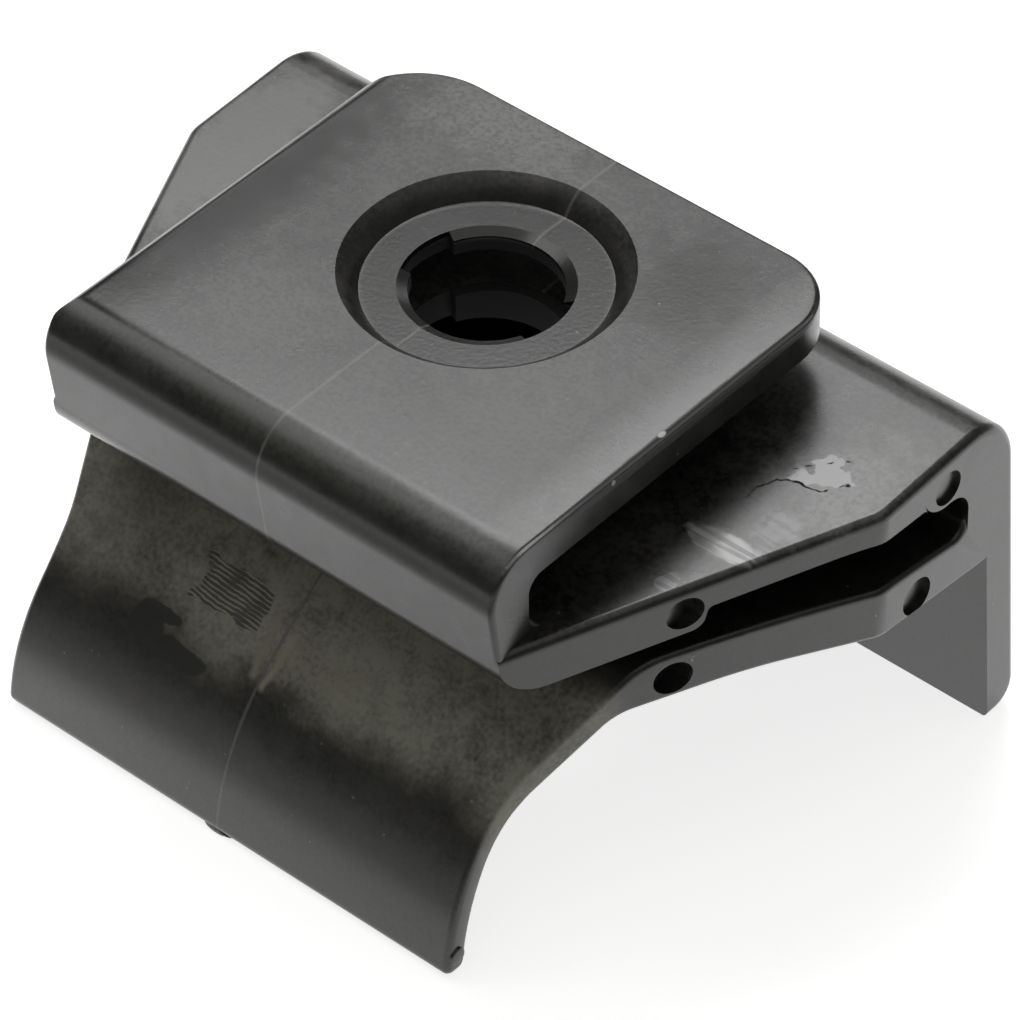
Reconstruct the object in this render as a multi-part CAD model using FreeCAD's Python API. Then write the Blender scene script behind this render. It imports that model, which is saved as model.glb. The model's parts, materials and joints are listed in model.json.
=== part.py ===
import FreeCAD, Part
import math
import os

V = FreeCAD.Vector

# The clip is one moulding: a screw pad folded back over an upper leaf, a hook wall behind it, and a
# lower leaf that runs forward into a ramped tongue. Millimetres. The screw axis is Z, X runs across
# the clip, and Z = 0 is the top edge of the screw hole's wall. Drops are below the pad face.

# Screw pad
pad_half = 12.0
pad_back = 8.58
pad_thick = 1.8
pad_corner_r = 3.2
pad_left_corner_r = 4.2
pad_edge_r = 0.25
pad_left_r = 1.05

# Countersink and keyed hole
sink_depth = 0.9
sink_rim_r = 6.1
sink_floor_r = 5.2
sink_bulge = 0.08
hole_r = 3.22
key_r = 3.68
key_angle = 48.0
lip_fall = 0.18
point_hole_r = 3.7

# Fold at the front
fold_front = -13.12
fold_wall = 1.82
fold_draft = 0.62
nose_r = 2.2
fold_inner_r = 0.8
fold_outer_r = 1.8

# Upper leaf: thick root at the fold, thinner middle, thicker again at the hook wall
panel_gap = 2.33
leaf_rise = math.radians(2.5)
leaf_edge_r = 0.43
root_thick = 2.3
root_end = -5.05
leaf_thick = 1.33
thin_mid = 1.0
heel_front = 5.2
heel_thick = 1.75
heel_r = 1.5

# Plan outline of both leaves
wing_half = 18.78
wing_kink = 2.3
kink_r = 1.6
tongue_blend_r = 6.0
tongue_spread = 0.076

# Hook wall
hook_back = 10.63
hook_lean = math.radians(3.6)
hook_thick = 1.9
hook_drop = 21.05
hook_top_r = 2.9
hook_foot_r = 0.5

# Slot and lower leaf
slot_end = 7.8
slot_gap = 2.6
lower_front_drop = 7.66
lower_back_drop = 8.95
lower_thick = 2.36
lower_bow_y = -0.5
lower_bow_r = 75.0
lower_edge_r = 0.3
belly_y = 3.2
belly_drop = 10.9
belly_r = 25.0

# Tongue
ramp_top = -7.35
ramp_angle = math.radians(38.5)
ramp_top_r = 2.6
tongue_thick = 1.22
tongue_r = 10.7
tongue_start = -13.0
tongue_sweep = math.radians(43.0)
tip_r = 0.45

# Round marks in the right-hand side faces: y, drop, radius, x of the mark's floor
marks = [
    (-5.75, 5.6, 0.78, 14.8),
    (-6.23, 8.92, 0.8, 14.2),
    (6.38, 5.42, 0.8, 18.53),
    (4.55, 10.05, 0.88, 18.42),
]

pad_top = sink_depth + lip_fall
pad_under = pad_top - pad_thick
far = 30.0


def leaf_top(y):
    return pad_under - panel_gap + y * math.tan(leaf_rise)


# Closed wire through (u, v, radius) corners, each rounded to its radius
def outline(corners, place):
    count = len(corners)
    stretches = []
    for i in range(count):
        u, v, r = corners[i]
        here = V(u, v, 0)
        back = V(corners[i - 1][0], corners[i - 1][1], 0) - here
        ahead = V(corners[(i + 1) % count][0], corners[(i + 1) % count][1], 0) - here
        back.normalize()
        ahead.normalize()
        half = back.getAngle(ahead) / 2
        reach = r / math.tan(half)
        inward = (back + ahead).normalize()
        mid = here + inward * (r / math.sin(half) - r)
        stretches.append((here + back * reach, mid, here + ahead * reach, r))
    edges = []
    for i in range(count):
        start, mid, end, r = stretches[i]
        if r > 0:
            edges.append(Part.Arc(place(start), place(mid), place(end)).toShape())
        edges.append(Part.makeLine(place(end), place(stretches[(i + 1) % count][0])))
    return Part.Wire(edges)


def side_profile(corners, half):
    wire = outline(corners, lambda p: V(-half, p.x, p.y))
    return Part.Face(wire).extrude(V(2 * half, 0, 0))


def plan_prism(corners):
    wire = outline(corners, lambda p: V(p.x, p.y, -far))
    return Part.Face(wire).extrude(V(0, 0, 2 * far))


def edges_where(shape, test):
    return [e for e in shape.Edges if test(e.valueAt((e.FirstParameter + e.LastParameter) / 2))]


# Upper leaf and hook wall, run past the fold so that its long edges round cleanly
wing_slope = (wing_half - pad_half) / (wing_kink - fold_front)
front_run = fold_front - 8.0
run_half = pad_half + (front_run - fold_front) * wing_slope
hook_low = pad_top - hook_drop
hook_corner = leaf_top(hook_back)
inner_shift = hook_thick / math.cos(hook_lean)
lower_back = pad_top - lower_back_drop
slot_high = lower_back + slot_gap
hook_core = hook_back - 0.9


def hook_y(z):
    return hook_back + (hook_corner - z) * math.tan(hook_lean)


def root_low(y):
    return leaf_top(y) - root_thick


upper = side_profile([
    (front_run, leaf_top(front_run), 0),
    (hook_back, hook_corner, hook_top_r),
    (hook_y(hook_low), hook_low, hook_foot_r),
    (hook_y(hook_low) - inner_shift, hook_low, 0),
    (hook_y(lower_back - 1) - inner_shift, lower_back - 1, 0),
    (slot_end, lower_back - 1, 0),
    (slot_end, slot_high, 1.2),
    (heel_front, slot_high, heel_r),
    (heel_front - 0.2, leaf_top(heel_front) - heel_thick, 0.25),
    (thin_mid, leaf_top(thin_mid) - leaf_thick, 15.0),
    (root_end + 0.25, leaf_top(root_end) - leaf_thick, 0.3),
    (root_end, root_low(root_end), 0.6),
    (front_run, root_low(front_run), 0),
], wing_half)
upper = upper.common(plan_prism([
    (-run_half, front_run, 0),
    (run_half, front_run, 0),
    (wing_half, wing_kink, kink_r),
    (wing_half, far, 0),
    (-wing_half, far, 0),
    (-wing_half, wing_kink, kink_r),
]))


def on_outer_rim(p):
    half = min(wing_half, pad_half + (p.y - fold_front) * wing_slope)
    rim = abs(p.x) > half - 0.4 and p.y > front_run + 1
    on_top = p.z > leaf_top(p.y) - 0.02
    on_round = p.y > hook_back - hook_top_r + 0.5 and p.z > hook_corner - hook_top_r
    on_back = p.y > hook_y(p.z) - 0.02
    return rim and (on_top or on_round or on_back)


upper = upper.makeFillet(leaf_edge_r, edges_where(upper, on_outer_rim))
upper = upper.common(side_profile([
    (fold_front, far, 0),
    (fold_front, root_low(fold_front), fold_outer_r),
    (root_end - 2, root_low(root_end - 2), 0),
    (root_end - 2, -far, 0),
    (far, -far, 0),
    (far, far, 0),
], wing_half))

# Lower leaf and tongue
lower_front = pad_top - lower_front_drop
belly_z = pad_top - belly_drop
lower_under = lower_front - lower_thick
ramp_inner = ramp_top - (lower_thick - tongue_thick / math.cos(ramp_angle)) / math.tan(ramp_angle)
arc_y = tongue_start + tongue_r * math.sin(ramp_angle)
arc_z = lower_front + (tongue_start - ramp_top) * math.tan(ramp_angle) - tongue_r * math.cos(ramp_angle)
inner_r = tongue_r - tongue_thick
tip_angle = ramp_angle + tongue_sweep
mid_angle = ramp_angle + tongue_sweep / 2
far_half = pad_half + (fold_front + far) * tongue_spread


def arc_corner(r):
    reach = r / math.cos(tongue_sweep / 2)
    return arc_y - reach * math.sin(mid_angle), arc_z + reach * math.cos(mid_angle)


def tip_corner(r):
    lip = tip_r * 1.2
    return (arc_y - r * math.sin(tip_angle) - lip * math.cos(tip_angle),
            arc_z + r * math.cos(tip_angle) - lip * math.sin(tip_angle))


lower = side_profile([
    (hook_core, lower_back + 1, 0),
    (hook_core, lower_back - lower_thick - 0.25, 0),
    (belly_y, belly_z, belly_r),
    (-3.0, lower_under, belly_r),
    (ramp_inner, lower_under, 2.0),
    (*arc_corner(inner_r), inner_r),
    (*tip_corner(inner_r), tip_r),
    (*tip_corner(tongue_r), tip_r),
    (*arc_corner(tongue_r), tongue_r),
    (ramp_top, lower_front, ramp_top_r),
    (lower_bow_y, lower_front, lower_bow_r),
    (slot_end, lower_back, 0.8),
    (slot_end, lower_back + 1, 0),
], wing_half)
lower = lower.common(plan_prism([
    (-far_half, -far, 0),
    (far_half, -far, 0),
    (pad_half, fold_front, tongue_blend_r),
    (wing_half, wing_kink, kink_r),
    (wing_half, far, 0),
    (-wing_half, far, 0),
    (-wing_half, wing_kink, kink_r),
    (-pad_half, fold_front, tongue_blend_r),
]))


def on_lower_rim(p):
    sharp = min(wing_half, max(pad_half, pad_half + (p.y - fold_front) * wing_slope))
    rim = abs(p.x) > sharp - 0.4 and p.y < slot_end - 0.9
    ramp = lower_front + (min(p.y, ramp_top) - ramp_top) * math.tan(ramp_angle)
    on_arc = math.hypot(p.y - arc_y, p.z - arc_z) > tongue_r - 0.05
    on_flat = p.z > ramp - 0.5 and p.y > tongue_start
    on_bow = p.y > lower_bow_y and p.z > lower_back - 0.1
    return rim and (on_arc or on_flat or on_bow)


lower = lower.makeFillet(lower_edge_r, edges_where(lower, on_lower_rim))

# Pad and fold, trimmed to the pad's own plan
inner_wall = fold_front + fold_wall
fold_foot = inner_wall + fold_inner_r
pad = side_profile([
    (pad_back, pad_top, 0),
    (fold_front - fold_draft, pad_top, nose_r),
    (fold_front, leaf_top(fold_front) - leaf_edge_r, 0),
    (fold_foot, leaf_top(fold_foot) - leaf_edge_r, 0),
    (fold_foot, leaf_top(fold_foot), 0),
    (inner_wall, leaf_top(inner_wall), fold_inner_r * 0.95),
    (inner_wall, pad_under, fold_inner_r),
    (pad_back, pad_under, 0),
], pad_half)
pad = pad.common(plan_prism([
    (-pad_half, -far, 0),
    (pad_half, -far, 0),
    (pad_half, pad_back, pad_corner_r),
    (-pad_half, pad_back, pad_left_corner_r),
]))


def on_pad_rim(p):
    side = abs(p.x) > pad_half - 1.5 and p.y < pad_back - 0.5
    on_top = p.z > pad_top - 0.01 and (side or p.y > pad_back - 0.01)
    on_front = p.y < fold_front + nose_r * 0.5 and p.z < pad_top - 0.1 and abs(p.x) > pad_half - 0.01
    return on_top and p.y > fold_front + nose_r or on_front and p.z > leaf_top(fold_front)


pad = pad.makeFillet(pad_edge_r, edges_where(pad, on_pad_rim))

# The left-hand top edge is rounder
left_wire = outline([
    (-pad_half, pad_top, pad_left_r),
    (far, pad_top, 0),
    (far, -far, 0),
    (-pad_half, -far, 0),
], lambda p: V(p.x, -far, p.y))
pad = pad.common(Part.Face(left_wire).extrude(V(0, 2 * far, 0)))

body = upper.fuse([lower, pad]).removeSplitter()

# Countersink with a rounded wall, and the keyed hole through the pad and the upper leaf
rim = V(sink_rim_r, 0, pad_top)
floor_edge = V(sink_floor_r, 0, lip_fall)
chord = floor_edge - rim
bulge = (rim + floor_edge) * 0.5 + V(chord.z, 0, -chord.x).normalize() * sink_bulge
above = V(0, 0, pad_top + 1)
sink = Part.Face(Part.Wire([
    Part.Arc(rim, bulge, floor_edge).toShape(),
    Part.makePolygon([floor_edge, V(0, 0, lip_fall), above, V(sink_rim_r, 0, above.z), rim]),
])).revolve(V(0, 0, 0), V(0, 0, 1), 360)
hole_low = lower_front + 0.5
hole_deep = lip_fall - hole_low
keys = Part.makeCylinder(key_r, hole_deep, V(0, 0, hole_low), V(0, 0, 1), key_angle)
keys.rotate(V(0, 0, 0), V(0, 0, 1), -key_angle / 2)
other_key = keys.copy()
other_key.rotate(V(0, 0, 0), V(0, 0, 1), 180)
hole = Part.makeCylinder(hole_r, hole_deep, V(0, 0, hole_low))
lip = Part.makeCone(hole_r, key_r, lip_fall)
point_hole = Part.makeCylinder(point_hole_r, far, V(0, 0, hole_low - far))
body = body.cut([sink, hole, keys, other_key, lip, point_hole])

# Round marks, cut along X so that they run out on the flared faces
for y, drop, r, floor_x in marks:
    body = body.cut(Part.makeCylinder(r, far, V(floor_x, y, pad_top - drop), V(1, 0, 0)))

os.makedirs("parts", exist_ok=True)
body.exportStep("parts/clip_body.step")
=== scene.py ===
import json
import math

import bpy
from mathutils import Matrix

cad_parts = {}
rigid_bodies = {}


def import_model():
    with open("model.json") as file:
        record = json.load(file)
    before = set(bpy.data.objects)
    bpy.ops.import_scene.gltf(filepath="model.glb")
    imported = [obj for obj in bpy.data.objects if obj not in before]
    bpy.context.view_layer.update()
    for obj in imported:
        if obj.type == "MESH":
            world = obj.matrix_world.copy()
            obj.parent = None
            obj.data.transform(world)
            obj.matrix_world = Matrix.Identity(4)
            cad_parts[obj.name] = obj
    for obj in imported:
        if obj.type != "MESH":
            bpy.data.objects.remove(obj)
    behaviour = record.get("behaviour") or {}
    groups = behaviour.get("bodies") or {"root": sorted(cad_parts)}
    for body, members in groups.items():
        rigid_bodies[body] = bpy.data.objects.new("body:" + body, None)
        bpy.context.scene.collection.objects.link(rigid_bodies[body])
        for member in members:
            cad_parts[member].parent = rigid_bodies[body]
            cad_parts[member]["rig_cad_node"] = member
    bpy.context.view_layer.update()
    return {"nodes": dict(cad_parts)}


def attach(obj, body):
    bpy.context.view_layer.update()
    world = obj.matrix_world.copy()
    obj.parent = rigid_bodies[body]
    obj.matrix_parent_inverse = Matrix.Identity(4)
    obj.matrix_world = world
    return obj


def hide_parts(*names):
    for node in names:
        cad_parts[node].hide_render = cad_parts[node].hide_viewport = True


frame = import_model()
mm = 0.001


def copyOf(piece, name):
    bpy.ops.object.select_all(action="DESELECT")
    piece.select_set(True)
    bpy.context.view_layer.objects.active = piece
    bpy.ops.object.duplicate()
    twin = bpy.context.active_object
    twin.name = name
    twin.data.name = name
    return twin


# Clip moulding. The sharp rings, as (radius, height) in millimetres, are the countersink's rim, its floor ring
# and the lip inside it; a point within the two tolerances is on a ring.
clipShape = {"weld": 0.0005 * mm, "smoothAngle": 28.0, "sharpRings": [(6.1, 1.08), (5.2, 0.18), (3.68, 0.18)],
             "ringNear": 0.02, "ringLevel": 0.005}

# Back edge of the hook's foot: middle of the moulding's own small rounding, the limits of what moves,
# how much larger the rounding grows, and the wall's lean
footShape = {"middle": (11.19 * mm, -19.47 * mm), "before": -0.005 * mm, "above": 0.035 * mm, "least": 0.001 * mm,
             "grow": 0.8 * mm, "lean": 0.063}


def roundFoot(clip):
    midY, midZ = footShape["middle"]
    for corner in clip.data.vertices:
        backward, upward = corner.co.y - midY, corner.co.z - midZ
        if backward < footShape["before"] or upward > footShape["above"]:
            continue
        reach = max(math.hypot(backward, upward), footShape["least"])
        lift = footShape["grow"] * (1 + min(upward / reach, 0.0))
        corner.co.y -= footShape["grow"] * (1 - max(backward / reach, 0.0)) + footShape["lean"] * lift
        corner.co.z += lift


def onRing(corner):
    across, height = math.hypot(corner.co.x, corner.co.y) / mm, corner.co.z / mm
    return any(abs(across - radius) < clipShape["ringNear"] and abs(height - level) < clipShape["ringLevel"]
               for radius, level in clipShape["sharpRings"])


def buildClip():
    clip = copyOf(frame["nodes"]["clip_body"], "clipMoulding")
    del clip["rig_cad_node"]
    bpy.ops.object.mode_set(mode="EDIT")
    bpy.ops.mesh.select_all(action="SELECT")
    bpy.ops.mesh.remove_doubles(threshold=clipShape["weld"])
    bpy.ops.mesh.customdata_custom_splitnormals_clear()
    bpy.ops.mesh.select_all(action="DESELECT")
    bpy.ops.object.mode_set(mode="OBJECT")
    roundFoot(clip)
    bpy.ops.object.shade_smooth_by_angle(angle=math.radians(clipShape["smoothAngle"]))
    for edge in clip.data.edges:
        edge.select = all(onRing(clip.data.vertices[i]) for i in edge.vertices)
    bpy.ops.object.mode_set(mode="EDIT")
    bpy.ops.mesh.select_mode(type="EDGE")
    bpy.ops.mesh.mark_sharp()
    bpy.ops.object.mode_set(mode="OBJECT")
    bpy.ops.object.modifier_add(type="WEIGHTED_NORMAL")
    clip.modifiers[-1].keep_sharp = True
    bpy.ops.object.modifier_apply(modifier=clip.modifiers[-1].name)
    return clip


clip = buildClip()
print("clip moulding:", len(clip.data.vertices), "points")

# Parting line: a thin slice of the moulding, swollen until it stands just proud of it
partingShape = {"from": -0.37 * mm, "to": -0.23 * mm, "proud": 0.035 * mm}


def buildParting():
    ridge = copyOf(clip, "partingRidge")
    bpy.ops.object.mode_set(mode="EDIT")
    for place, side in ((partingShape["from"], -1), (partingShape["to"], 1)):
        bpy.ops.mesh.select_all(action="SELECT")
        bpy.ops.mesh.bisect(plane_co=(place, 0, 0), plane_no=(side, 0, 0), use_fill=True, clear_outer=True)
    bpy.ops.mesh.select_all(action="SELECT")
    bpy.ops.mesh.normals_make_consistent(inside=False)
    bpy.ops.transform.shrink_fatten(value=-partingShape["proud"])
    bpy.ops.object.mode_set(mode="OBJECT")
    return ridge


ridge = buildParting()
print("parting ridge:", len(ridge.data.vertices), "points")

# Flash left hanging at the parting line under the tongue's tip, thinner towards the right
flashShape = {"spot": (-0.42 * mm, -16.70 * mm, -18.44 * mm), "size": (0.80 * mm, 0.20 * mm, 0.24 * mm),
              "fineness": 3, "thinFrom": -0.15 * mm, "thin": 0.45}

# Round stub on the tongue's right-hand end
stubShape = {"spot": (12.2 * mm, -16.32 * mm, -17.55 * mm), "radius": 0.42 * mm, "long": 0.30 * mm, "sides": 32,
             "round": 0.1 * mm, "roundSteps": 3, "smoothAngle": 40.0}


def buildFlash():
    bpy.ops.object.select_all(action="DESELECT")
    bpy.ops.mesh.primitive_ico_sphere_add(subdivisions=flashShape["fineness"], radius=1,
                                          location=flashShape["spot"], scale=flashShape["size"])
    flash = bpy.context.active_object
    flash.name = "tipFlash"
    bpy.ops.object.transform_apply(location=True, rotation=True, scale=True)
    bpy.ops.object.mode_set(mode="EDIT")
    bpy.ops.mesh.select_all(action="DESELECT")
    bpy.ops.object.mode_set(mode="OBJECT")
    for corner in flash.data.vertices:
        corner.select = corner.co.x > flashShape["thinFrom"]
    bpy.ops.object.mode_set(mode="EDIT")
    bpy.ops.transform.resize(value=(1, 1, flashShape["thin"]))
    bpy.ops.object.mode_set(mode="OBJECT")
    bpy.ops.object.shade_smooth()
    return flash


def buildStub():
    bpy.ops.object.select_all(action="DESELECT")
    bpy.ops.mesh.primitive_cylinder_add(vertices=stubShape["sides"], radius=stubShape["radius"],
                                        depth=stubShape["long"], location=stubShape["spot"],
                                        rotation=(0, math.pi / 2, 0))
    stub = bpy.context.active_object
    stub.name = "tongueStub"
    bpy.ops.object.transform_apply(location=True, rotation=True, scale=True)
    bpy.ops.object.modifier_add(type="BEVEL")
    rounding = stub.modifiers[-1]
    rounding.width = stubShape["round"]
    rounding.segments = stubShape["roundSteps"]
    bpy.ops.object.modifier_apply(modifier=rounding.name)
    bpy.ops.object.shade_smooth_by_angle(angle=math.radians(stubShape["smoothAngle"]))
    return stub


flash = buildFlash()
stub = buildStub()
print("tip flash and tongue stub:", len(flash.data.vertices) + len(stub.data.vertices), "points")

# Black plastic. Lengths are millimetres in the part's own frame. A noise is (scale, detail).
# A range is (low, high), or (low, high, share at low, share at high).
plasticLook = {
    "base": (0.0185, 0.0180, 0.0165), "toneStart": 0.2, "toneCloud": 0.35, "toneGrain": 1.6, "toneMottle": 1.2,
    "rough": 0.29, "roughChange": 0.10, "shine": 0.85,
    "cloud": (0.22, 3.0), "mottle": (1.1, 2.0), "grain": (4.5, 2.0), "levelRange": (0.4, 0.95),
    "grainHeight": 0.0030, "grainOnLevel": 0.7,
}

# Dusty film on the ramp, thinning out over the tongue and towards the left
filmLook = {
    "colour": (0.295, 0.286, 0.224), "rough": 0.5, "aheadRange": (8.0, 9.5), "belowRange": (6.9, 8.0),
    "borderRange": (11.9, 13.7, 1.0, 0.05), "borderCloud": -2.0, "borderMottle": 0.8,
    "cloudRange": (0.25, 0.6, -0.1, 0.3), "mottle": 1.0, "grain": 1.2, "leftRange": (-11.0, -4.0, 0.62, 1.0),
}

# Grainy haze on the upper faces, partly a painted sheen that lightens them
hazeAndSheenLook = {"colour": (0.074, 0.073, 0.070), "belowRange": (3.4, 5.0, 1.0, 0.0), "mottle": 0.6,
            "grainRange": (0.36, 0.66, 0.1, 1.0), "cloudRange": (0.35, 0.62, 0.25, 0.8)}

# Pale specks, parting line and painted shade inside the screw hole, near black
speckLook = {"colour": (0.34, 0.33, 0.27), "mottle": 0.5, "grainRange": (0.80, 0.86, 0.0, 0.8)}
lineLook = {"colour": (0.140, 0.137, 0.125), "at": -0.30, "half": 0.10, "core": 0.4, "share": 0.8, "waver": 0.12}
boreShadeLook = {"colour": (0.004, 0.004, 0.004), "rough": 0.85, "acrossRange": (3.72, 3.76, 1.0, 0.0),
            "belowRange": (0.0, 0.3)}

# Crown of the pad: the heights it comes in over, then where it starts towards each side and how fast it falls
padCrown = {"heightRange": (-2.3, -0.75), "right": (9.6, 0.020), "left": (7.5, 0.0022), "front": (7.5, 0.0025)}

# Patterns that thin out the marks that name them
textureLook = {"streaks": (1.0, 1.0), "stretch": (0.3, 4.0, 0.3), "streakyRange": (0.38, 0.56, 0.3, 1.0),
               "grainyRange": (0.32, 0.62, 0.35, 1.0)}

# Wear as the photograph shows it, with painted shade and painted highlights among the marks: middle, half sizes,
# softness and wobble of each mark's edge, then its look
clipMarks = {
    # Painted shade, darker and glossier, along the pad top's left side
    "shadeLeft": {
        "at": (-10.4, -3.0, 1.08), "half": (3.6, 15.0, 0.5), "soft": 0.9, "wobble": 0.3,
        "colour": (0.013, 0.0128, 0.012), "rough": 0.20, "share": 0.9},
    # Painted shade, darker and glossier, right of the screw hole towards the back right
    "shadeRight": {
        "at": (7.2, 4.2, 1.08), "half": (5.2, 6.6, 0.5), "soft": 0.95, "wobble": 0.35,
        "colour": (0.013, 0.0128, 0.012), "rough": 0.20, "share": 1.0},
    # Scuffed, lighter patch that is also a painted highlight on the pad's front right
    "scuffAndSheenFront": {
        "at": (6.6, -6.2, 1.08), "half": (4.6, 4.4, 0.5), "soft": 0.95, "wobble": 0.9,
        "colour": (0.086, 0.085, 0.081), "rough": 0.34, "share": 0.9, "grainy": True},
    # Lighter patch with scuffs that is also a painted highlight on the pad's back left
    "scuffAndSheenBack": {
        "at": (-5.5, 7.4, 1.08), "half": (6.2, 3.4, 0.5), "soft": 0.8, "wobble": 0.6,
        "colour": (0.150, 0.148, 0.142), "rough": 0.35, "share": 0.95, "grainy": True},
    # Scuffed, lighter patch that is also a painted highlight along the front by the nose
    "scuffAndSheenNose": {
        "at": (-5.2, -7.4, 1.08), "half": (4.8, 4.0, 0.5), "soft": 0.9, "wobble": 0.7,
        "colour": (0.085, 0.084, 0.080), "rough": 0.31, "share": 0.9, "grainy": True},
    # Painted sheen, lighter and glossier, on the left leaf's top
    "sheenLeft": {
        "at": (-16.4, 2.5, -2.9), "half": (2.8, 8.5, 1.0), "soft": 0.5, "wobble": 0.4,
        "colour": (0.135, 0.134, 0.130), "rough": 0.24, "share": 1.0},
    # Painted sheen, lighter and grainy, on the right leaf's top
    "sheenRight": {
        "at": (16.8, 2.5, -2.9), "half": (2.6, 5.0, 1.0), "soft": 0.7, "wobble": 0.6,
        "colour": (0.110, 0.109, 0.106), "rough": 0.24, "share": 0.9, "grainy": True},
    # Painted shade, darker and glossier, at the pad's front-left corner
    "shadeCorner": {
        "at": (-10.9, -10.3, 1.0), "half": (3.0, 3.6, 0.8), "soft": 0.95, "wobble": 0.25,
        "colour": (0.010, 0.010, 0.009), "rough": 0.18, "share": 1.0},
    # Painted shade, darker and glossier, along the pad's right edge where the top rolls off
    "shadeEdge": {
        "at": (12.3, -1.5, 1.0), "half": (2.9, 13.0, 0.8), "soft": 0.95, "wobble": 0.3,
        "colour": (0.012, 0.0118, 0.011), "rough": 0.22, "share": 0.9},
    # A lighter olive band along the nose
    "oliveNoseBand": {
        "at": (0.0, -12.5, 0.7), "half": (13.0, 0.9, 0.9), "soft": 0.8, "wobble": 0.3,
        "colour": (0.056, 0.057, 0.042), "rough": 0.38, "share": 0.5, "grainy": True},
    # Painted shade along the pad's right rim, made rough to dull its highlight
    "padRim": {
        "at": (12.05, -1.5, 1.0), "half": (0.42, 11.0, 0.6), "soft": 0.4, "wobble": 0.1,
        "colour": (0.016, 0.0158, 0.015), "rough": 0.65, "share": 0.9},
    # Painted shade in the countersink, darker and glossier than the top
    "ring": {
        "at": (0.0, 0.0, 0.14), "half": (5.45, 5.45, 0.35), "soft": 0.08, "wobble": 0.0,
        "colour": (0.011, 0.0108, 0.010), "rough": 0.18, "share": 0.9},
    "peelBack": {
        "at": (15.6, 2.95, -2.93), "half": (0.95, 0.82, 0.5), "soft": 0.06, "wobble": 0.8,
        "colour": (0.150, 0.150, 0.150), "rough": 0.14, "share": 0.95},
    "peelFront": {
        "at": (14.5, 2.05, -2.96), "half": (0.72, 0.46, 0.5), "soft": 0.06, "wobble": 0.8,
        "colour": (0.150, 0.150, 0.150), "rough": 0.14, "share": 0.95},
    "rubbed": {
        "at": (14.75, -2.9, -3.2), "half": (1.85, 0.85, 0.5), "soft": 0.3, "wobble": 0.4,
        "colour": (0.430, 0.430, 0.430), "rough": 0.15, "share": 0.9, "streaky": True},
    "rubbedTrail": {
        "at": (16.1, -1.2, -3.1), "half": (1.1, 1.5, 0.5), "soft": 0.6, "wobble": 0.9,
        "colour": (0.110, 0.110, 0.110), "rough": 0.17, "share": 0.7, "streaky": True},
    "chip": {
        "at": (14.4, -5.75, -3.3), "half": (0.50, 0.60, 0.5), "soft": 0.1, "wobble": 0.7,
        "colour": (0.240, 0.240, 0.240), "rough": 0.24, "share": 0.9, "streaky": True},
    "nickBack": {
        "at": (11.78, -3.06, 1.06), "half": (0.12, 0.24, 0.22), "soft": 0.3, "wobble": 0.3,
        "colour": (0.75, 0.74, 0.70), "rough": 0.6, "share": 1.0},
    "nickFront": {
        "at": (11.95, -6.22, 0.84), "half": (0.22, 0.15, 0.15), "soft": 0.4, "wobble": 0.3,
        "colour": (0.50, 0.50, 0.48), "rough": 0.6, "share": 1.0},
    "ovalFold": {
        "at": (12.0, -12.29, -1.61), "half": (0.3, 0.40, 0.46), "soft": 0.2, "wobble": 0.1,
        "colour": (0.085, 0.085, 0.085), "rough": 0.4, "share": 0.7, "hollow": True},
}
tongueMarks = {
    "dustyRamp": {
        "at": (2.2, -12.9, -11.0), "half": (3.8, 2.0, 2.0), "soft": 0.8, "wobble": 0.9,
        "colour": (0.270, 0.258, 0.195), "rough": 0.6, "share": 0.9, "grainy": True},
    "smearHeel": {
        "at": (-6.4, -14.25, -12.25), "half": (1.0, 0.85, 0.85), "soft": 0.14, "wobble": 0.4,
        "colour": (0.017, 0.017, 0.014), "rough": 0.36, "share": 0.92},
    "smearSole": {
        "at": (-4.5, -14.55, -12.65), "half": (1.75, 0.58, 0.62), "soft": 0.14, "wobble": 0.4,
        "colour": (0.017, 0.017, 0.014), "rough": 0.36, "share": 0.92},
    "smearToe": {
        "at": (-6.0, -13.75, -11.7), "half": (1.1, 0.36, 0.40), "soft": 0.14, "wobble": 0.4,
        "colour": (0.017, 0.017, 0.014), "rough": 0.36, "share": 0.92},
}

# Scratches, streaks, cracks and a painted highlight: half width, solid share of it, how far they wander, their
# look and corner points
clipScratches = {
    "sideScratch": {
        "half": 0.05, "core": 0.4, "wander": 0.0, "colour": (0.40, 0.40, 0.39), "rough": 0.5,
        "points": [(17.55, 1.58, -7.0), (18.68, 2.05, -8.3)]},
    # Painted highlight along the small step at the foot of the fold's right side
    "stepHighlight": {
        "half": 0.03, "core": 0.4, "wander": 0.0, "colour": (0.20, 0.20, 0.19), "rough": 0.5,
        "points": [(11.95, -13.12, -4.15), (12.14, -9.65, -3.47)]},
    "crack": {
        "half": 0.075, "core": 0.3, "wander": 0.35, "colour": (0.001, 0.001, 0.001), "rough": 1.0,
        "points": [(16.6, 2.85, -2.9), (15.95, 1.85, -2.97), (14.95, 1.7, -2.98), (14.0, 1.3, -3.0),
                   (13.76, -0.15, -3.06), (12.69, -1.18, -3.1)]},
    "peelEdge": {
        "half": 0.06, "core": 0.3, "wander": 0.35, "colour": (0.002, 0.002, 0.002), "rough": 1.0,
        "points": [(14.0, 1.8, -2.98), (14.75, 2.75, -2.94), (15.9, 3.9, -2.9)]},
}
tongueScratches = {
    "rampStreak": {
        "half": 0.30, "core": 0.0, "wander": 0.2, "colour": (0.270, 0.250, 0.182), "rough": 0.55,
        "points": [(-0.95, -11.93, -10.23), (-0.76, -13.92, -11.9)]},
    "filmBorder": {
        "half": 0.30, "core": 0.0, "wander": 0.2, "colour": (0.310, 0.285, 0.202), "rough": 0.55,
        "points": [(0.21, -12.19, -10.43), (-0.08, -14.07, -12.05)]},
}

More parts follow.
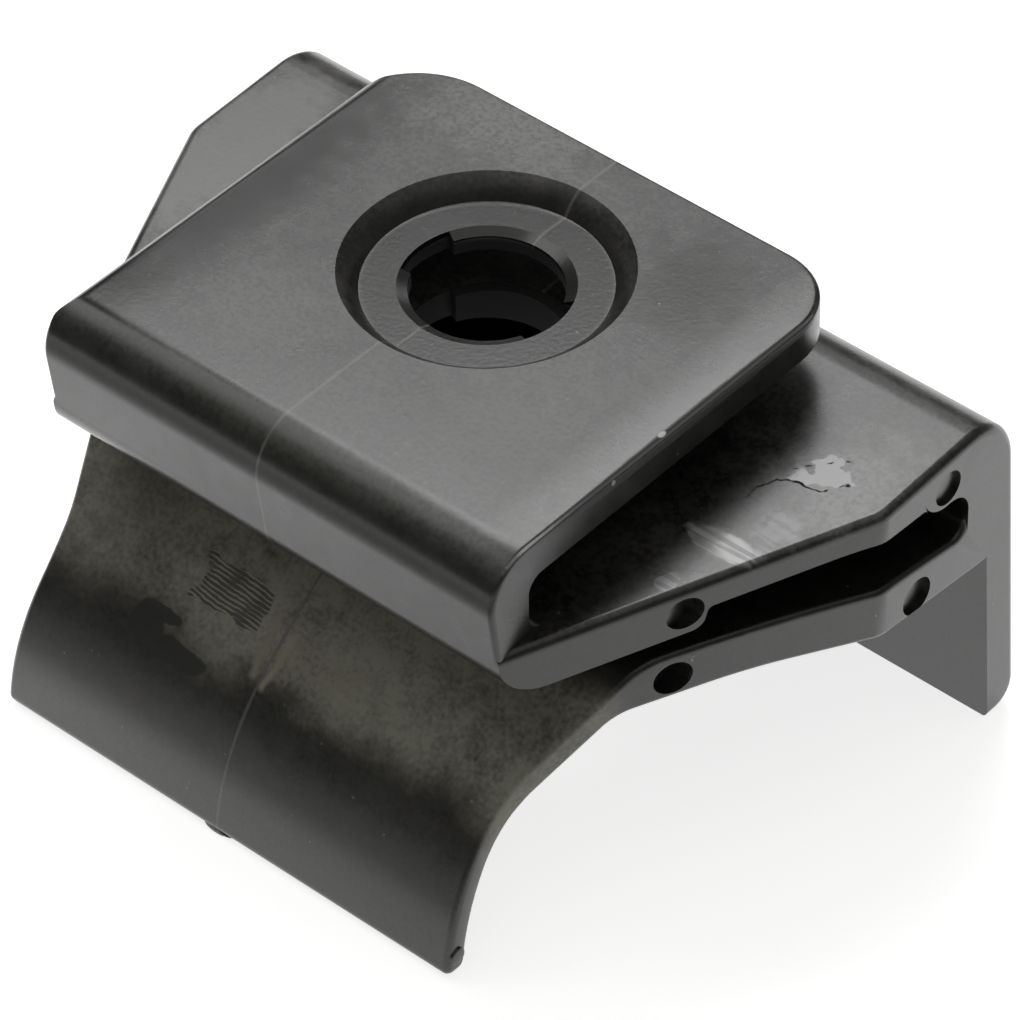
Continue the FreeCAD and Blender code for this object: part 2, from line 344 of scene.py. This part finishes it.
# Parallel scuff lines on the ramp
hatchLook = {
    "at": (-3.3, -12.05, -10.35), "half": (1.95, 0.80, 0.9), "wobble": 0.9, "edgeRange": (0.9, 1.0, 0.8, 0.0),
    "spacing": 0.155, "slant": 0.04, "waver": 0.22, "breaks": 3.0, "stripeRange": (0.0, 1.0),
    "colour": (0.330, 0.318, 0.262), "gap": (0.018, 0.018, 0.014),
}


def feed(tree, socket, value):
    if isinstance(value, bpy.types.NodeSocket):
        tree.links.new(value, socket)
    else:
        socket.default_value = value


def calc(tree, how, *values):
    node = tree.nodes.new("ShaderNodeMath")
    node.operation = how
    for socket, value in zip(node.inputs, values):
        feed(tree, socket, value)
    return node.outputs[0]


def vectorCalc(tree, how, *values):
    node = tree.nodes.new("ShaderNodeVectorMath")
    node.operation = how
    for socket, value in zip(node.inputs, values):
        feed(tree, socket, value)
    return node.outputs["Value"] if how in ("LENGTH", "DOT_PRODUCT") else node.outputs["Vector"]


def scaled(tree, vector, number):
    node = tree.nodes.new("ShaderNodeVectorMath")
    node.operation = "SCALE"
    feed(tree, node.inputs[0], vector)
    feed(tree, node.inputs["Scale"], number)
    return node.outputs["Vector"]


def parted(tree, vector):
    node = tree.nodes.new("ShaderNodeSeparateXYZ")
    feed(tree, node.inputs[0], vector)
    return node.outputs


def smoothStep(tree, value, low, high, start=0.0, end=1.0):
    node = tree.nodes.new("ShaderNodeMapRange")
    node.interpolation_type = "SMOOTHSTEP"
    names = ("Value", "From Min", "From Max", "To Min", "To Max")
    for name, number in zip(names, (value, low, high, start, end)):
        feed(tree, node.inputs[name], number)
    return node.outputs["Result"]


# Output 0 is one number, output 1 is three
def speckle(tree, place, scale, detail, output=0):
    node = tree.nodes.new("ShaderNodeTexNoise")
    feed(tree, node.inputs["Vector"], place)
    node.inputs["Scale"].default_value = scale
    node.inputs["Detail"].default_value = detail
    return node.outputs[output]


def blend(tree, share, first, second):
    node = tree.nodes.new("ShaderNodeMix")
    node.data_type = "RGBA"
    for place, value in ((0, share), (6, first), (7, second)):
        feed(tree, node.inputs[place], (*value, 1.0) if isinstance(value, tuple) else value)
    return node.outputs[2]


def blendNumber(tree, share, first, second):
    node = tree.nodes.new("ShaderNodeMix")
    for place, value in ((0, share), (2, first), (3, second)):
        feed(tree, node.inputs[place], value)
    return node.outputs[0]


def cover(tree, paint, mask, look):
    colour, rough = paint
    if "rough" in look:
        rough = blendNumber(tree, mask, rough, look["rough"])
    return blend(tree, mask, colour, look["colour"]), rough


# Place, direction and noises that the masks share; the mottle's three numbers run from -0.5 to 0.5
def readSkin(tree):
    where = tree.nodes.new("ShaderNodeTexCoord")
    place = scaled(tree, where.outputs["Object"], 1 / mm)
    x, y, z = parted(tree, place)
    drift = vectorCalc(tree, "SUBTRACT", speckle(tree, place, *plasticLook["mottle"], output=1), (0.5, 0.5, 0.5))
    ragged, patchy, spotty = parted(tree, drift)
    return {
        "place": place, "x": x, "y": y, "z": z,
        "ahead": calc(tree, "MULTIPLY", y, -1.0), "below": calc(tree, "MULTIPLY", z, -1.0),
        "level": smoothStep(tree, parted(tree, where.outputs["Normal"])["Z"], *plasticLook["levelRange"]),
        "cloud": speckle(tree, place, *plasticLook["cloud"]), "grain": speckle(tree, place, *plasticLook["grain"]),
        "drift": drift, "ragged": ragged, "patchy": patchy, "spotty": spotty,
    }


def filmMask(tree, skin):
    film = calc(tree, "MULTIPLY", smoothStep(tree, skin["ahead"], *filmLook["aheadRange"]),
                smoothStep(tree, skin["below"], *filmLook["belowRange"]))
    border = calc(tree, "MULTIPLY_ADD", skin["cloud"], filmLook["borderCloud"], skin["ahead"])
    border = calc(tree, "MULTIPLY_ADD", skin["patchy"], filmLook["borderMottle"], border)
    film = calc(tree, "MULTIPLY", film, smoothStep(tree, border, *filmLook["borderRange"]))
    thick = smoothStep(tree, skin["cloud"], *filmLook["cloudRange"])
    thick = calc(tree, "MULTIPLY_ADD", skin["ragged"], filmLook["mottle"], thick)
    thick = calc(tree, "MULTIPLY_ADD", skin["grain"], filmLook["grain"], thick)
    film = calc(tree, "MULTIPLY", film, thick)
    return calc(tree, "MULTIPLY", film, smoothStep(tree, skin["x"], *filmLook["leftRange"]))


# Haze with painted sheen, only on the upward faces
def hazeAndSheenMask(tree, skin):
    upper = calc(tree, "MULTIPLY", calc(tree, "MULTIPLY", skin["level"], skin["level"]),
                 smoothStep(tree, skin["below"], *hazeAndSheenLook["belowRange"]))
    grains = calc(tree, "MULTIPLY_ADD", skin["patchy"], hazeAndSheenLook["mottle"], skin["grain"])
    haze = calc(tree, "MULTIPLY", smoothStep(tree, grains, *hazeAndSheenLook["grainRange"]), upper)
    return calc(tree, "MULTIPLY", haze, smoothStep(tree, skin["cloud"], *hazeAndSheenLook["cloudRange"]))


def speckMask(tree, skin):
    grains = calc(tree, "MULTIPLY_ADD", skin["spotty"], speckLook["mottle"], skin["grain"])
    return smoothStep(tree, grains, *speckLook["grainRange"])


def lineMask(tree, skin):
    away = calc(tree, "ABSOLUTE", calc(tree, "SUBTRACT", skin["x"], lineLook["at"]))
    away = calc(tree, "MULTIPLY_ADD", skin["spotty"], lineLook["waver"], away)
    return smoothStep(tree, away, lineLook["core"] * lineLook["half"], lineLook["half"], lineLook["share"], 0.0)


# Painted shade: the inside of the screw hole, below the top
def boreShadeMask(tree, skin):
    fromAxis = vectorCalc(tree, "LENGTH", vectorCalc(tree, "MULTIPLY", skin["place"], (1.0, 1.0, 0.0)))
    return calc(tree, "MULTIPLY", smoothStep(tree, fromAxis, *boreShadeLook["acrossRange"]),
                smoothStep(tree, skin["below"], *boreShadeLook["belowRange"]))


def markMask(tree, skin, textures, mark):
    away = vectorCalc(tree, "DIVIDE", vectorCalc(tree, "SUBTRACT", skin["place"], mark["at"]), mark["half"])
    reach = calc(tree, "MULTIPLY_ADD", skin["ragged"], 2 * mark["wobble"], vectorCalc(tree, "LENGTH", away))
    inner = 1 - mark["soft"]
    mask = smoothStep(tree, reach, inner, 1.0, mark["share"], 0.0)
    if mark.get("hollow"):
        mask = calc(tree, "MULTIPLY", mask, smoothStep(tree, reach, inner - mark["soft"], inner))
    for texture, strength in textures.items():
        if mark.get(texture):
            mask = calc(tree, "MULTIPLY", mask, strength)
    return mask


def scratchMask(tree, skin, scratch):
    wandered = vectorCalc(tree, "ADD", skin["place"], scaled(tree, skin["drift"], 2 * scratch["wander"]))
    nearest = None
    for start, end in zip(scratch["points"], scratch["points"][1:]):
        run = [b - a for a, b in zip(start, end)]
        length = math.sqrt(sum(c * c for c in run))
        along = tuple(c / length for c in run)
        offset = vectorCalc(tree, "SUBTRACT", wandered, start)
        reach = calc(tree, "MAXIMUM", vectorCalc(tree, "DOT_PRODUCT", offset, along), 0.0)
        reach = calc(tree, "MINIMUM", reach, length)
        away = vectorCalc(tree, "LENGTH", vectorCalc(tree, "SUBTRACT", offset, scaled(tree, along, reach)))
        nearest = away if nearest is None else calc(tree, "MINIMUM", away, nearest)
    return smoothStep(tree, nearest, scratch["core"] * scratch["half"], scratch["half"], 1.0, 0.0)


def hatchMask(tree, skin):
    away = vectorCalc(tree, "SUBTRACT", skin["place"], hatchLook["at"])
    away = vectorCalc(tree, "ABSOLUTE", vectorCalc(tree, "DIVIDE", away, hatchLook["half"]))
    sideways, along, _ = parted(tree, away)
    reach = calc(tree, "MAXIMUM", sideways, along)
    reach = calc(tree, "MULTIPLY_ADD", skin["ragged"], hatchLook["wobble"], reach)
    return smoothStep(tree, reach, *hatchLook["edgeRange"])


def hatchColour(tree, skin):
    phase = calc(tree, "MULTIPLY_ADD", skin["x"], hatchLook["slant"], skin["y"])
    phase = calc(tree, "MULTIPLY_ADD", skin["patchy"], hatchLook["waver"], phase)
    wave = calc(tree, "SINE", calc(tree, "MULTIPLY", phase, 2 * math.pi / hatchLook["spacing"]))
    broken = calc(tree, "MULTIPLY_ADD", skin["spotty"], hatchLook["breaks"], wave)
    return blend(tree, smoothStep(tree, broken, *hatchLook["stripeRange"]), hatchLook["gap"], hatchLook["colour"])


def crownHeight(tree, skin, height):
    crown = calc(tree, "MULTIPLY", smoothStep(tree, skin["z"], *padCrown["heightRange"]), skin["level"])
    crown = calc(tree, "MULTIPLY", crown, -1.0)
    sides = {"right": skin["x"], "left": calc(tree, "MULTIPLY", skin["x"], -1.0), "front": skin["ahead"]}
    for side, outward in sides.items():
        start, fall = padCrown[side]
        over = calc(tree, "MAXIMUM", calc(tree, "SUBTRACT", outward, start), 0.0)
        drop = calc(tree, "MULTIPLY", calc(tree, "MULTIPLY", over, over), fall)
        height = calc(tree, "MULTIPLY_ADD", drop, crown, height)
    return height


def buildPlastic(name, marks, scratches, dusty):
    plastic = bpy.data.materials.new(name)
    plastic.use_nodes = True
    tree = plastic.node_tree
    shader = tree.nodes["Principled BSDF"]
    skin = readSkin(tree)

    # Clouded base
    share, change = plasticLook["toneCloud"], plasticLook["roughChange"]
    tone = calc(tree, "MULTIPLY_ADD", skin["cloud"], 2 * share, plasticLook["toneStart"] - share)
    tone = calc(tree, "MULTIPLY_ADD", skin["grain"], plasticLook["toneGrain"], tone)
    tone = calc(tree, "MULTIPLY_ADD", skin["patchy"], plasticLook["toneMottle"], tone)
    rough = calc(tree, "MULTIPLY_ADD", skin["cloud"], change, plasticLook["rough"] - change / 2)
    rough = calc(tree, "MULTIPLY_ADD", skin["patchy"], change, rough)
    paint = scaled(tree, plasticLook["base"], tone), rough

    # Film, or haze with painted sheen, then the marks over it: wear, painted shade and painted highlights
    textures = {"grainy": smoothStep(tree, skin["grain"], *textureLook["grainyRange"])}
    if dusty:
        paint = cover(tree, paint, filmMask(tree, skin), filmLook)
    else:
        paint = cover(tree, paint, hazeAndSheenMask(tree, skin), hazeAndSheenLook)
        stretched = vectorCalc(tree, "MULTIPLY", skin["place"], textureLook["stretch"])
        streaks = speckle(tree, stretched, *textureLook["streaks"])
        textures["streaky"] = smoothStep(tree, streaks, *textureLook["streakyRange"])
    for mark in marks.values():
        paint = cover(tree, paint, markMask(tree, skin, textures, mark), mark)
    paint = cover(tree, paint, speckMask(tree, skin), speckLook)
    if dusty:
        paint = cover(tree, paint, hatchMask(tree, skin), {"colour": hatchColour(tree, skin)})
    for scratch in scratches.values():
        paint = cover(tree, paint, scratchMask(tree, skin, scratch), scratch)
    paint = cover(tree, paint, lineMask(tree, skin), lineLook)

    # Grain as a height in millimetres, fainter on the upright faces
    onLevel = plasticLook["grainOnLevel"]
    height = calc(tree, "MULTIPLY", calc(tree, "MULTIPLY", skin["grain"], plasticLook["grainHeight"]),
                  calc(tree, "MULTIPLY_ADD", skin["level"], onLevel, 1 - onLevel))
    if not dusty:
        paint = cover(tree, paint, boreShadeMask(tree, skin), boreShadeLook)
        height = crownHeight(tree, skin, height)
    bump = tree.nodes.new("ShaderNodeBump")
    bump.inputs["Distance"].default_value = mm
    feed(tree, bump.inputs["Height"], height)
    colour, rough = paint
    feed(tree, shader.inputs["Base Color"], colour)
    feed(tree, shader.inputs["Roughness"], rough)
    feed(tree, shader.inputs["Normal"], bump.outputs["Normal"])
    shader.inputs["Specular IOR Level"].default_value = plasticLook["shine"]
    print(name + ":", len(tree.nodes), "nodes")
    return plastic


# The dusty plastic is on the ramp and tongue, the clean plastic on the rest
tongueZone = {"front": -7.8 * mm, "under": -6.2 * mm}
cleanPlastic = buildPlastic("blackPlastic", clipMarks, clipScratches, False)
dustyPlastic = buildPlastic("dustyPlastic", tongueMarks, tongueScratches, True)
for piece in (clip, ridge, flash, stub):
    piece.data.materials.clear()
    piece.data.materials.append(cleanPlastic)
    piece.data.materials.append(dustyPlastic)
    for face in piece.data.polygons:
        onTongue = face.center.y < tongueZone["front"] and face.center.z < tongueZone["under"]
        face.material_index = 1 if onTongue else 0
    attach(piece, "root")
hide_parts("clip_body")

# Floor, touching the hook's foot and the tongue's tip. It is evenly pale to the camera. What the plastic mirrors
# of it is painted light, dimmer towards the front right, and dips in a band ahead of the clip as the clip's
# painted shadow. Lengths are metres.
floorLook = {
    "size": 1.6, "low": (0.0, 10.7 * mm, -19.97 * mm), "tilt": -2.98, "colour": 0.86, "cameraGlow": 0.78,
    "backLeft": (-0.7071, 0.7071, 0.0), "mirrorRange": (-0.034, -0.004, 0.55, 1.02),
    "dip": (0.021, 0.034), "rise": (0.050, 0.085), "dipShare": 0.3, "farShare": 0.6, "dipDark": 0.5,
}


def buildFloor():
    bpy.ops.object.select_all(action="DESELECT")
    bpy.ops.mesh.primitive_plane_add(size=floorLook["size"], location=floorLook["low"],
                                     rotation=(math.radians(floorLook["tilt"]), 0, 0))
    floor = bpy.context.active_object
    floor.name = "paleFloor"
    bpy.ops.object.transform_apply(location=True, rotation=True, scale=True)
    paper = bpy.data.materials.new("palePaper")
    paper.use_nodes = True
    tree = paper.node_tree
    sheet = tree.nodes["Principled BSDF"]
    sheet.inputs["Roughness"].default_value = 1.0
    sheet.inputs["Specular IOR Level"].default_value = 0.0
    sheet.inputs["Emission Color"].default_value = (1, 1, 1, 1)
    path = tree.nodes.new("ShaderNodeLightPath")
    where = tree.nodes.new("ShaderNodeTexCoord")
    ahead = vectorCalc(tree, "DOT_PRODUCT", where.outputs["Object"], (0.0, -1.0, 0.0))
    fading = calc(tree, "ADD", smoothStep(tree, ahead, *floorLook["dip"], 1.0, floorLook["dipShare"]),
                  smoothStep(tree, ahead, *floorLook["rise"], 0.0, floorLook["farShare"] - floorLook["dipShare"]))
    # Painted shadow of the clip in the band ahead of it, darkening the floor only as the plastic mirrors it
    paintedShadow = calc(tree, "MULTIPLY", smoothStep(tree, ahead, *floorLook["dip"], 0.0, floorLook["dipDark"]),
                     smoothStep(tree, ahead, *floorLook["rise"], 1.0, 0.0))
    paintedShadow = calc(tree, "MULTIPLY", paintedShadow, path.outputs["Is Glossy Ray"])
    feed(tree, sheet.inputs["Base Color"], blend(tree, paintedShadow, (floorLook["colour"],) * 3, (0.0, 0.0, 0.0)))
    backLeft = vectorCalc(tree, "DOT_PRODUCT", where.outputs["Object"], floorLook["backLeft"])
    mirrored = calc(tree, "MULTIPLY", smoothStep(tree, backLeft, *floorLook["mirrorRange"]), fading)
    mirrored = calc(tree, "MULTIPLY", path.outputs["Is Glossy Ray"], mirrored)
    glow = calc(tree, "MULTIPLY_ADD", path.outputs["Is Camera Ray"], floorLook["cameraGlow"], mirrored)
    feed(tree, sheet.inputs["Emission Strength"], glow)
    floor.data.materials.append(paper)


buildFloor()

# Soft boxes face the middle of the clip; turn runs from the hook side towards the right-hand side
boxes = [
    {"name": "backBox", "turn": 317.0, "rise": 55.0, "away": 0.60, "wide": 0.30, "high": 0.24, "level": 4.5},
    {"name": "backFill", "turn": 322.0, "rise": 30.5, "away": 0.60, "wide": 0.50, "high": 0.12, "level": 1.1},
    {"name": "leftBox", "turn": 260.0, "rise": 57.0, "away": 0.60, "wide": 0.34, "high": 0.22, "level": 1.3},
]


def buildBox(box):
    turn, rise = math.radians(box["turn"]), math.radians(box["rise"])
    spot = (math.sin(turn) * math.cos(rise) * box["away"], math.cos(turn) * math.cos(rise) * box["away"],
            math.sin(rise) * box["away"])
    bpy.ops.object.light_add(type="AREA", location=spot, rotation=(math.pi / 2 - rise, 0, math.pi - turn))
    lamp = bpy.context.active_object
    lamp.name = box["name"]
    lamp.data.shape = "RECTANGLE"
    lamp.data.size = box["wide"]
    lamp.data.size_y = box["high"]
    lamp.data.energy = box["level"] * math.pi * box["wide"] * box["high"]
    lamp.visible_camera = False


for box in boxes:
    buildBox(box)

# Room: light by height above the floor, as (sine of the height, level); white to the camera
roomLook = {
    "levels": [(0.0, 0.32), (0.08, 0.20), (0.22, 0.12), (0.42, 0.08), (0.66, 0.12), (0.82, 0.32), (1.0, 0.45)],
    "tint": (1.0, 0.99, 0.96),
}


def buildRoom():
    world = bpy.data.worlds.new("studioRoom")
    bpy.context.scene.world = world
    world.use_nodes = True
    tree = world.node_tree
    back = tree.nodes["Background"]
    where = tree.nodes.new("ShaderNodeTexCoord")
    upward = parted(tree, where.outputs["Generated"])["Z"]
    light = roomLook["levels"][0][1]
    for (low, dim), (high, bright) in zip(roomLook["levels"], roomLook["levels"][1:]):
        light = calc(tree, "ADD", light, smoothStep(tree, upward, low, high, 0.0, bright - dim))
    path = tree.nodes.new("ShaderNodeLightPath")
    strength = blendNumber(tree, path.outputs["Is Camera Ray"], light, 1.0)
    tint = blend(tree, path.outputs["Is Camera Ray"], roomLook["tint"], (1.0, 1.0, 1.0))
    feed(tree, back.inputs["Color"], tint)
    feed(tree, back.inputs["Strength"], strength)


buildRoom()
print("stage: floor,", len(boxes), "soft boxes and room")

# Camera at the photograph's angle
cameraLook = {"spot": (126.665 * mm, -139.890 * mm, 164.386 * mm), "turn": 41.939, "dip": 43.114, "roll": -1.286,
              "lens": 218.82, "sensor": 36.0, "near": 0.01}


def buildCamera():
    bpy.ops.object.camera_add(location=cameraLook["spot"])
    eye = bpy.context.active_object
    eye.rotation_euler = (math.radians(90 - cameraLook["dip"]), 0, math.radians(cameraLook["turn"]))
    eye.rotation_euler.rotate_axis("Z", math.radians(cameraLook["roll"]))
    eye.data.lens = cameraLook["lens"]
    eye.data.sensor_width = cameraLook["sensor"]
    eye.data.clip_start = cameraLook["near"]
    bpy.context.scene.camera = eye


buildCamera()
bpy.context.scene.view_settings.view_transform = "Standard"
print("camera set")
